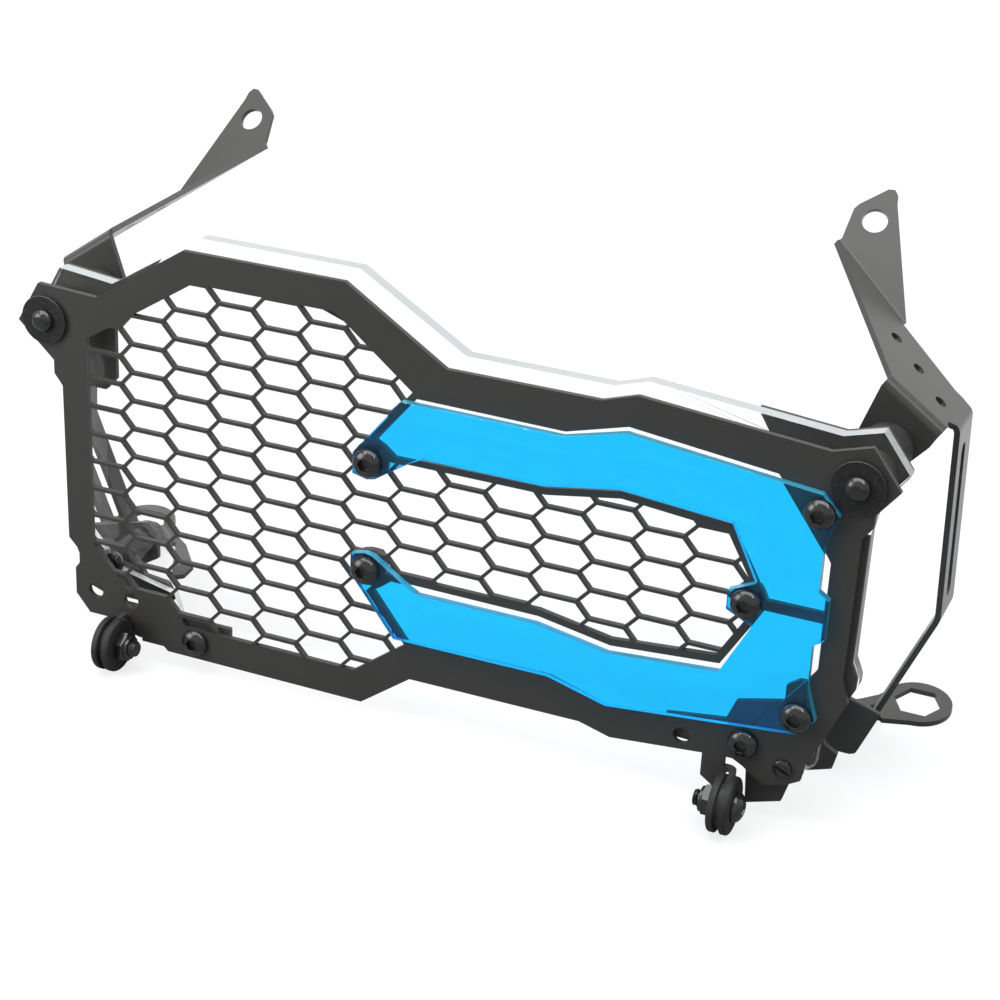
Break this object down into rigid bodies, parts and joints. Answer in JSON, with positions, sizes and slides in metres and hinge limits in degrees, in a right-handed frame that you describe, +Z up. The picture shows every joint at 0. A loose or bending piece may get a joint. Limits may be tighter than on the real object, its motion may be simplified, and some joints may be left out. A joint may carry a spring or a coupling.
{
  "type": "motorcycle headlight guard",
  "caption": "Motorcycle headlight guard: honeycomb sheet-metal plate with a tinted C-shaped lens, a clear rear shield, rubber rollers and folded side brackets.",
  "frame": {"origin": "middle of the overall box, on the surface the guard stands on", "axes": "+X along the guard's width, to the viewer's right when looking at the plate's front; +Y from the plate back to the brackets; +Z up"},
  "size_m": [0.3464, 0.1484, 0.1773],
  "materials": {
    "black_sheet": "satin powder coat",
    "bracket_sheet": "satin powder coat",
    "blue_acrylic": "clear tinted gloss",
    "clear_acrylic": "clear gloss",
    "black_rubber": "matte",
    "black_zinc": "black zinc, satin"
  },
  "bodies": {
    "root": {"grille_plate": "black_sheet", "blue_lens": "blue_acrylic", "clear_shield": "clear_acrylic", "right_upper_backing_plate": "black_sheet", "left_upper_backing_plate": "black_sheet", "right_lower_backing_plate": "black_sheet", "left_lower_backing_plate": "black_sheet", "right_foot_plate": "black_sheet", "left_foot_plate": "black_sheet", "right_bracket": "bracket_sheet", "left_bracket": "bracket_sheet", "right_roller": "black_rubber", "left_roller": "black_rubber", "roller_screws": "black_zinc", "roller_nuts": "black_zinc", "corner_washers": "black_zinc", "corner_bolts": "black_zinc", "front_rubber_pads": "black_rubber", "rear_rubber_pads": "black_rubber", "corner_nuts": "black_zinc", "lens_screws": "black_zinc", "lens_nuts": "black_zinc", "foot_screws": "black_zinc", "foot_nuts": "black_zinc", "slotted_screw": "black_zinc", "slotted_nut": "black_zinc", "lower_bolts": "black_zinc", "lower_sleeves": "black_zinc", "lower_nuts": "black_zinc"}
  },
  "joints": []
}
